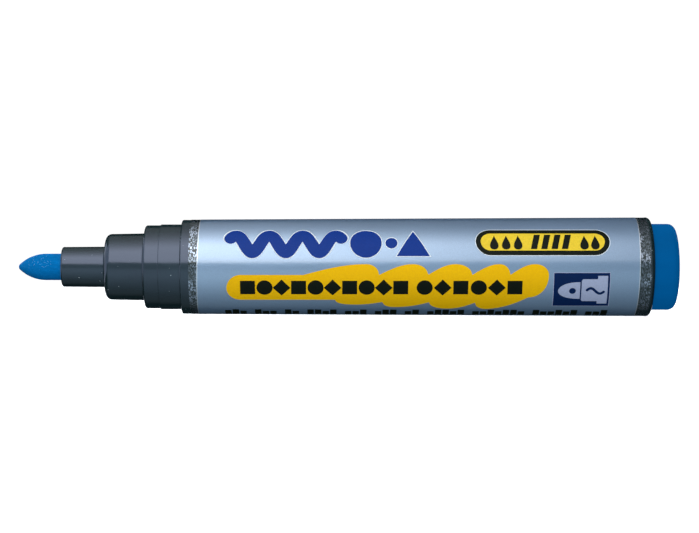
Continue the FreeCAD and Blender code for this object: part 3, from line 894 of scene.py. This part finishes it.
class MARKER_OT_front_print(bpy.types.Operator):
    """Print the front of the label: blue shapes, a yellow scribble, a pill and a nib sign"""

    bl_idname = "marker.front_print"
    bl_label = "Front print"

    def execute(self, context):
        colours = settings()[1]
        self.inks = {
            name: printed_ink(f"printed_ink_{name}", getattr(colours, name))
            for name in ("white", "blue", "navy", "lilac", "yellow", "light_yellow", "black")
        }
        self.print_shapes()
        self.print_scribble()
        self.print_pill()
        self.print_nib_sign()
        self.print_small_marks()
        return {"FINISHED"}

    def print_shapes(self):
        """A thick wavy line and three plain shapes, each with a thin white outline."""
        left, right, middle = -21.9, -0.4, 4.6
        line_width, wave_height, waves = 2.4, 3.6, 3.5
        outline = 0.16
        for name, ink, spare, layer in (
            ("outline", "white", outline, 1),
            ("ink", "blue", 0.0, 2),
        ):
            line = wave(left - spare, right + spare, middle, wave_height, waves)
            width = line_width + 2 * spare
            make_ink(f"wavy_line_{name}", *stroke(*line, width), layer, self.inks[ink])
            shapes = marks(
                along=[3.6, 8.3, 12.3],
                across=[4.6, 4.6, 3.75],
                reach=[2.9 + spare, 1.1 + spare, 3.5 + 2 * spare],
                corners=[0, 0, 3],
                turn=[0, 0, math.pi / 2],
                rings=16,
                count=144,
            )
            make_ink(
                f"plain_shapes_{name}", *shapes, layer, self.inks[ink], joined=True, pole=True
            )

    def print_scribble(self):
        """A yellow scribble: a bar with a round end and slanting lobes, with marks on it.

        The lobes on top lean towards the tail and those below towards the nib.  Below, the
        lobes deepen and the bar widens towards the tail, where its end turns up to the top.
        """
        left, right, middle, half = -22.1, 37.2, -4.08, 2.6
        crest_height, end_start = 2.0, 33.5
        crest_places = (-7.9, 3.7, 6.0, 12.3, 15.0, 20.1, 23.1, 28.2, 30.1, 34.7, right)
        trough_places = (-33.5, -26.2, -23.8, -18.2, -15.3, -8.4, -6.7, 0.0, 2.1)
        along = round_ended(left, right, 640)
        round_left = round_end(along - left, half)
        high = middle + round_left + crest_height * self.lobes(along, crest_places)
        base = np.interp(along, (-2.1, 6.7, 24, end_start), (0, 0.55, 0.7, -0.6))
        depth = np.interp(along, (0, 26), (1.1, 2.3))
        low = middle - round_left - base - depth * self.lobes(-along, trough_places)
        ending = np.clip((along - end_start) / (right - end_start), 0, 1)
        turn_up = 1 - np.sqrt(1 - ending**2)
        low = low + turn_up * (high[-1] - low[-1])
        make_ink("yellow_scribble", *band(along, low, high, 40), 1, self.inks["yellow"])
        places = np.concatenate([even(-18.2, 10.0, 10), even(14.4, 31.0, 6)])
        kinds = np.arange(places.size) % 3
        row = marks(
            along=places,
            across=-3.98,
            reach=np.choose(kinds, [1.95, 1.48, 1.64]),
            corners=np.choose(kinds, [4, 0, 4]),
            turn=np.choose(kinds, [math.pi / 4, 0, 0]),
            rings=8,
        )
        make_ink("marks_on_scribble", *row, 2, self.inks["black"], joined=True, pole=True)

    def lobes(self, along, places):
        """Lobes between 0 and 1 whose feet and crests take turns in places.

        Each rises as a quarter of a sine wave and falls as a quarter of an ellipse, which
        leaves a sharp notch before the next.
        """
        part = np.interp(along, places, range(len(places)))
        step = part % 1
        rising = np.sin(np.pi / 2 * step)
        falling = np.sqrt(1 - step**2)
        inside = (part > 0) & (part < len(places) - 1)
        return np.where(part % 2 < 1, rising, falling) * inside

    def print_pill(self):
        """A light yellow pill in a black ring with a thin pale edge, with drops and bars."""
        left, right, low, high = 23.7, 48.6, 2.04, 7.79
        edge_width, ring_inset, ring_width, field_inset = 0.2, 0.13, 0.9, 0.95
        edge = ring_of_stadium(left, right, low, high, edge_width)
        make_ink("pill_edge", *edge, 1, self.inks["white"], joined=True)
        ring, field = (
            (left + inset, right - inset, low + inset, high - inset)
            for inset in (ring_inset, field_inset)
        )
        ring = ring_of_stadium(*ring, ring_width)
        make_ink("pill_ring", *ring, 2, self.inks["black"], joined=True)
        make_ink("pill_field", *field_of_stadium(*field), 1, self.inks["light_yellow"])
        middle = (low + high) / 2
        tall, drop_sink, bar_width = 3.1, 0.1, 1.15
        sign = drops(np.array([27.2, 29.4, 31.6, 43.8, 45.8]), middle - drop_sink, tall)
        make_ink("pill_drops", *sign, 2, self.inks["black"], joined=True, pole=True)
        bar_places = np.array([33.9, 35.8, 37.7, 39.6])
        slanted = bars(bar_places, middle - tall / 2, bar_width, tall, slant=0.22)
        make_ink("pill_bars", *slanted, 2, self.inks["black"])

    def print_nib_sign(self):
        """A navy panel with a pale edge that shows a bullet nib in its holder and a line."""
        left, right, low, high = 38.15, 48.42, -8.25, -1.12
        edge = 0.1
        lilac, navy = self.inks["lilac"], self.inks["navy"]
        rim = rectangle(left - edge, right + edge, low - edge, high + edge)
        make_ink("nib_sign_edge", *rim, 1, lilac)
        make_ink("nib_sign_panel", *rectangle(left, right, low, high), 2, navy)
        middle = -4.62
        tip, point_length, point_half, bluntness = 38.95, 4.05, 1.76, 2.3
        share = even(0, 1, 48) ** 2
        half = point_half * np.sqrt(np.maximum(1 - (1 - share) ** bluntness, 0))
        point = band(tip + point_length * share, middle - half, middle + half, 16)
        make_ink("nib_sign_point", *point, 3, lilac)
        front, step, rear = 43.25, 46.22, 48.05
        front_half, rear_half, corner_length, corner_depth = 2.33, 2.97, 0.35, 0.3
        along = np.concatenate([even(front, step - 0.02, 14), even(step + 0.02, rear, 10)])
        half = np.where(along < step, front_half, rear_half)
        corner = np.clip((along - front) / corner_length, 0, 1)
        half = half - corner_depth * (1 - np.sqrt(corner * (2 - corner)))
        holder = band(along, middle - half, middle + half, 18)
        make_ink("nib_sign_holder", *holder, 3, lilac)
        line = wave(left=44.1, right=47.5, middle=middle, height=1.1, waves=1.0, count=80)
        make_ink("nib_sign_line", *stroke(*line, width=0.5), 4, navy)
        dot = marks(along=41.6, across=middle, reach=0.62, corners=0, turn=0)
        make_ink("nib_sign_dot", *dot, 4, navy, joined=True, pole=True)

    def print_small_marks(self):
        """A long row of small dark blocks in groups, low on the label."""
        groups = (3, 3, 2, 4, 3, 3, 2, 5, 7, 6, 3)
        start, pitch, gap = -22.6, 1.41, 1.35
        low, width, height, height_spread = -12.4, 1.2, 2.4, 0.3
        group = np.repeat(np.arange(len(groups)), groups)
        number_in_row = np.arange(group.size)
        left = start + number_in_row * pitch + group * gap
        tall = height + height_spread * np.sign(np.sin(2.4 * number_in_row))
        make_ink("small_marks_front", *bars(left, low, width, tall), 1, self.inks["black"])


class MARKER_OT_back_print(bpy.types.Operator):
    """Print the back of the label: rows of small marks, a drawn line and three drops"""

    bl_idname = "marker.back_print"
    bl_label = "Back print"

    def execute(self, context):
        """Rows with gaps: a block is kept where a sine of its row and column is high enough."""
        colours = settings()[1]
        black = printed_ink("printed_ink_back_black", colours.black)
        blue = printed_ink("printed_ink_back_blue", colours.blue)
        rows, columns = 5, 44
        start, lowest, pitch_along, pitch_up, width, height = -20, 18.6, 1.15, 1.75, 0.8, 0.85
        row, column = np.divmod(np.arange(rows * columns), columns)
        kept = np.sin(1.9 * column + 2.7 * row) > -0.72
        left = start + column[kept] * pitch_along
        low = lowest + row[kept] * pitch_up
        make_ink("small_marks_back", *bars(left, low, width, height, rows=4), 1, black)
        line = wave(left=-20, right=12, middle=15.6, height=1.7, waves=5.5)
        make_ink("drawn_line_back", *stroke(*line, width=0.9), 1, blue)
        row = drops(along=np.array([36.5, 40.5, 44.5]), across=21.5, height=4.4)
        make_ink("drops_back", *row, 1, blue, joined=True, pole=True)
        return {"FINISHED"}


# ---------------------------------------------------------------- studio


def add_stage(name, points, faces, material, camera, light):
    """A stage surface that the camera may see, or that may light the marker."""
    mesh = bpy.data.meshes.new(name)
    mesh.from_pydata(points.reshape(-1, 3), [], faces.tolist())
    mesh.materials.append(material)
    item = bpy.data.objects.new(name, mesh)
    bpy.context.scene.collection.objects.link(item)
    item.visible_camera = camera
    item.visible_diffuse = light
    item.visible_glossy = light
    item.visible_transmission = light
    item.visible_shadow = False
    return item


def panel_points(distance, left, right, low, high, columns=60, rows=60):
    """A lamp panel bent round the marker's axis, from one elevation to another in degrees.

    Low may be a function of the place along the panel.
    """
    along = even(left, right, columns)[:, None]
    share = even(0, 1, rows)[None, :]
    start = low(along) if callable(low) else low
    elevation = np.radians(start + (high - start) * share)
    return on_axis(along, elevation, distance)


# Brightness of the lamp panels: a span, and stops of (share of the span, brightness).  Upward
# spans are elevations about the marker's axis in degrees, and sideways ones are places along it.
# The main panel is even up to 53 degrees and fades over the top.  It is dim far out on the nib's
# side, full from 150 to 60 mm out, and fades towards the tail.
MAIN_UPWARD = (
    (0, 140),
    ((0.1, 0.95), (0.38, 1), (0.46, 0.8), (0.55, 0.52), (0.65, 0.3), (0.78, 0.13), (1, 0.03)),
)
MAIN_SIDEWAYS = (
    (-0.6, 0.25),
    (
        (0, 0.1),
        (0.35, 0.2),
        (0.53, 1),
        (0.635, 1),
        (0.75, 0.52),
        (0.852, 0.225),
        (0.94, 0.12),
        (1, 0),
    ),
)
# The fill panel is brightest from 26 to 9 degrees below the level of the axis, fades downwards,
# and is dimmer towards the tail.
FILL_UPWARD = (
    (-120, 15),
    (
        (0, 0.04),
        (0.12, 0.16),
        (0.3, 0.28),
        (0.52, 0.6),
        (0.7, 0.92),
        (0.82, 0.9),
        (0.86, 0.6),
        (1, 0.6),
    ),
)
FILL_SIDEWAYS = ((-0.1, 0.2), ((0.1, 1), (0.45, 0.86), (0.75, 0.6), (1, 0.5)))


def through_stops(tree, value, span, stops):
    """A value turned into brightness along straight lines between stops across a span."""
    share = add_node(tree, "ShaderNodeMapRange", {0: value, 1: span[0], 2: span[1], 3: 0, 4: 1})
    ramp = add_node(tree, "ShaderNodeValToRGB", {0: share})
    elements = ramp.color_ramp.elements
    while len(elements) < len(stops):
        elements.new(0.5)
    for element, (place, height) in zip(elements, stops):
        element.position = place
        element.color = (height, height, height, 1)
    return ramp


def shared_out(tree, upward, sideways):
    """Brightness by the elevation about the marker's axis, times that by the place along it."""
    place = add_node(tree, "ShaderNodeTexCoord").outputs["Object"]
    along, across, up = add_node(tree, "ShaderNodeSeparateXYZ", {0: place}).outputs
    height = add_node(tree, "ShaderNodeMath", {0: up, 1: AXIS_HEIGHT}, operation="SUBTRACT")
    front = add_node(tree, "ShaderNodeMath", {0: across, 1: -1.0}, operation="MULTIPLY")
    angle = add_node(tree, "ShaderNodeMath", {0: height, 1: front}, operation="ARCTAN2")
    degrees = add_node(tree, "ShaderNodeMath", {0: angle, 1: 180 / math.pi}, operation="MULTIPLY")
    inputs = {
        0: through_stops(tree, degrees, *upward),
        1: through_stops(tree, along, *sideways),
    }
    return add_node(tree, "ShaderNodeMath", inputs, operation="MULTIPLY")


def lamp_surface(name, tint, power, upward=None, sideways=None):
    """A surface that gives light of one tint, evenly or shared out upward and sideways."""
    material, tree = empty_material(name)
    strength = power
    if upward:
        inputs = {0: shared_out(tree, upward, sideways), 1: power}
        strength = add_node(tree, "ShaderNodeMath", inputs, operation="MULTIPLY")
    lamp = add_node(tree, "ShaderNodeEmission", {"Color": tint, "Strength": strength})
    add_node(tree, "ShaderNodeOutputMaterial", {"Surface": lamp})
    return material


class MARKER_OT_studio(bpy.types.Operator):
    """Set up the white floor and backdrop, the lamps and cards, the world and the camera"""

    bl_idname = "marker.studio"
    bl_label = "Studio"
    white_glow = 1.05

    def execute(self, context):
        studio = settings()[2]
        scene = context.scene
        scene.view_settings.view_transform = "Standard"
        self.make_world(scene)
        self.make_sweep()
        self.make_lamps(studio)
        self.make_camera(scene, studio)
        return {"FINISHED"}

    def make_world(self, scene):
        """A nearly dark room with a cold tinge."""
        world = bpy.data.worlds.new("dim_room")
        world.use_nodes = True
        background = world.node_tree.nodes["Background"]
        set_inputs(world.node_tree, background, {"Color": ROOM_LIGHT, "Strength": 0.12})
        scene.world = world

    def make_sweep(self):
        """A white floor and a white dome round it, which only the camera sees."""
        reach = 4.0
        ring = once_round(96)[:, None]
        out = even(0, 1, 24)[None, :] ** 2
        x, y = reach * out * np.cos(ring), reach * out * np.sin(ring)
        floor = np.stack([x, y, np.zeros_like(x)], axis=-1)
        rise = even(0, np.pi / 2, 24)[None, :]
        dome = np.stack(
            np.broadcast_arrays(
                reach * np.cos(rise) * np.cos(ring),
                reach * np.cos(rise) * np.sin(ring),
                reach * np.sin(rise),
            ),
            axis=-1,
        )
        faces = faces_of(floor, True)
        add_stage("floor", floor, faces, self.white_paper(), camera=True, light=False)
        glow = lamp_surface("white_backdrop", WHITE_LIGHT, self.white_glow)
        add_stage("backdrop", dome, faces, glow, camera=True, light=False)

    def white_paper(self):
        """White paper under light strong enough to keep it white all over."""
        finish = {
            "Base Color": WHITE_PAPER,
            "Roughness": 1.0,
            "Specular IOR Level": 0.0,
            "Emission Color": WHITE_LIGHT,
            "Emission Strength": self.white_glow,
        }
        return start_material("white_paper", finish)[0]

    def make_lamps(self, studio):
        """The main panel in front and above, the lower fill, three cards and three soft lamps.

        The cards only show as reflections: one beyond the nib, one low behind and one bent
        round the nib's side.  Two of the lamps stand behind and one low in front.
        """
        distance = studio.panel_distance

        def lower_edge(along):
            """The panel's lower edge, which rises towards the nib's side and a little to the tail.

            It is 9.4 degrees, plus 6 times the 1.5th power of how many times 57 mm a place is
            beyond 58 mm on the nib's side, plus up to 3.2 across the marker's middle.
            """
            beyond = np.maximum(-0.058 - along, 0) / 0.057
            behind = np.clip((along + 0.03) / 0.07, 0, 1)
            return 9.4 + 6.0 * np.minimum(beyond, 2.2) ** 1.5 + 3.2 * behind

        main = panel_points(distance, left=-0.6, right=0.24, low=lower_edge, high=138)
        fill = panel_points(1.1 * distance, left=-0.4, right=0.4, low=-120, high=14)
        wall = np.array([[-0.5, y, z] for y in (-0.45, 0.4) for z in (-0.15, 0.7)])
        behind = panel_points(distance, left=-0.35, right=0.35, low=188, high=195)
        bend = panel_points(0.98 * distance, left=-0.52, right=-0.165, low=12, high=85)
        white = lamp_surface(
            "main_panel_light", MAIN_LIGHT, studio.panel_power, MAIN_UPWARD, MAIN_SIDEWAYS
        )
        cold = lamp_surface(
            "fill_panel_light", FILL_LIGHT, studio.fill_power, FILL_UPWARD, FILL_SIDEWAYS
        )
        card = lamp_surface("card_light", CARD_LIGHT, studio.card_power)
        curved, flat = faces_of(main, False), np.array([[0, 2, 3, 1]])
        for name, points, faces, glow in (
            ("main_panel", main, curved, white),
            ("fill_panel", fill, curved, cold),
            ("side_card", wall, flat, card),
            ("back_card", behind, curved, card),
            ("bent_card", bend, curved, card),
        ):
            item = add_stage(name, points, faces, glow, camera=False, light=True)
            item.visible_diffuse = glow is not card
        for name, place, power, tint in (
            ("rear_lamp_left", (-0.42, 0.4, 0.3), studio.rear_power, REAR_LIGHT),
            ("rear_lamp_right", (0.42, 0.4, 0.3), studio.rear_power, REAR_LIGHT),
            ("front_bounce", (0, -0.58, -0.13), studio.bounce_power, BOUNCE_LIGHT),
        ):
            self.add_soft_lamp(name, place, power, tint)

    def add_soft_lamp(self, name, place, power, tint):
        """A soft lamp aimed at the marker, which lights it and isn't mirrored in it."""
        lamp = bpy.data.lights.new(name, "AREA")
        lamp.energy = power
        lamp.size = 0.3
        lamp.color = tint[:3]
        item = bpy.data.objects.new(name, lamp)
        item.location = place
        direction = -item.location
        item.rotation_euler = direction.to_track_quat("-Z", "Y").to_euler()
        item.visible_camera = False
        item.visible_glossy = False
        bpy.context.scene.collection.objects.link(item)

    def make_camera(self, scene, studio):
        """A level camera in front of the marker, whose lens spans the picture's width."""
        lens = studio.sensor_width * studio.camera_distance / studio.picture_width
        camera = bpy.data.cameras.new("camera")
        camera.sensor_width = studio.sensor_width / MM
        camera.lens = lens / MM
        camera.clip_start = 0.01
        camera.clip_end = 20
        item = bpy.data.objects.new("camera", camera)
        item.location = (
            studio.camera_side,
            -studio.camera_distance,
            AXIS_HEIGHT + studio.camera_rise,
        )
        item.rotation_euler = (math.pi / 2, 0, 0)
        scene.collection.objects.link(item)
        scene.camera = item


OPERATORS = (
    MARKER_OT_plastics,
    MARKER_OT_reservoir,
    MARKER_OT_nib,
    MARKER_OT_label,
    MARKER_OT_front_print,
    MARKER_OT_back_print,
    MARKER_OT_studio,
)


class MARKER_PT_panel(bpy.types.Panel):
    """Lists the marker's pieces and its studio"""

    bl_idname = "MARKER_PT_panel"
    bl_label = "Felt tip marker"
    bl_space_type = "VIEW_3D"
    bl_region_type = "UI"
    bl_category = "Marker"

    def draw(self, context):
        for operator in OPERATORS:
            self.layout.operator(operator.bl_idname)


GROUPS = {
    "marker_sizes": MARKER_PG_sizes,
    "marker_colours": MARKER_PG_colours,
    "marker_studio": MARKER_PG_studio,
}


def register():
    """Registers the groups, the operators and the panel."""
    for name, group in GROUPS.items():
        bpy.utils.register_class(group)
        setattr(bpy.types.Scene, name, bpy.props.PointerProperty(type=group))
    for item in (*OPERATORS, MARKER_PT_panel):
        bpy.utils.register_class(item)


def unregister():
    """Takes the panel, the operators and the groups away again."""
    for item in reversed((*OPERATORS, MARKER_PT_panel)):
        bpy.utils.unregister_class(item)
    for name, group in GROUPS.items():
        delattr(bpy.types.Scene, name)
        bpy.utils.unregister_class(group)


def main():
    """Makes every piece and the studio."""
    register()
    bpy.ops.marker.plastics()
    bpy.ops.marker.reservoir()
    bpy.ops.marker.nib()
    bpy.ops.marker.label()
    bpy.ops.marker.front_print()
    bpy.ops.marker.back_print()
    bpy.ops.marker.studio()
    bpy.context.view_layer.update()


if __name__ == "__main__":
    main()
